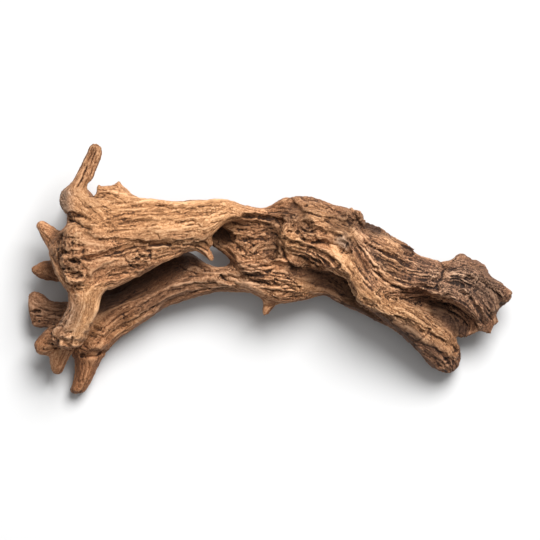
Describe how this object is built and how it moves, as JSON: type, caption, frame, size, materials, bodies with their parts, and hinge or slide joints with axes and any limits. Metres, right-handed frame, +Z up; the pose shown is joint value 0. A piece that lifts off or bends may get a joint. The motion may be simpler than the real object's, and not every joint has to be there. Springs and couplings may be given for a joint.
{
  "type": "mopani wood piece",
  "caption": "Weathered mopani wood: a gnarled root crown with broken stubs, arched limbs joined round a gap, and a grooved trunk ending in a splintered butt and a side leg.",
  "frame": {"origin": "centre of the footprint box, on the surface that the wood lies on", "axes": "+X along the wood, from the root crown to the butt; +Y across it, towards the root crown's horn; +Z up"},
  "size_m": [0.4846, 0.2496, 0.1262],
  "materials": {
    "wood": "weathered, unfinished"
  },
  "bodies": {
    "root": {"wood": "wood"}
  },
  "joints": []
}
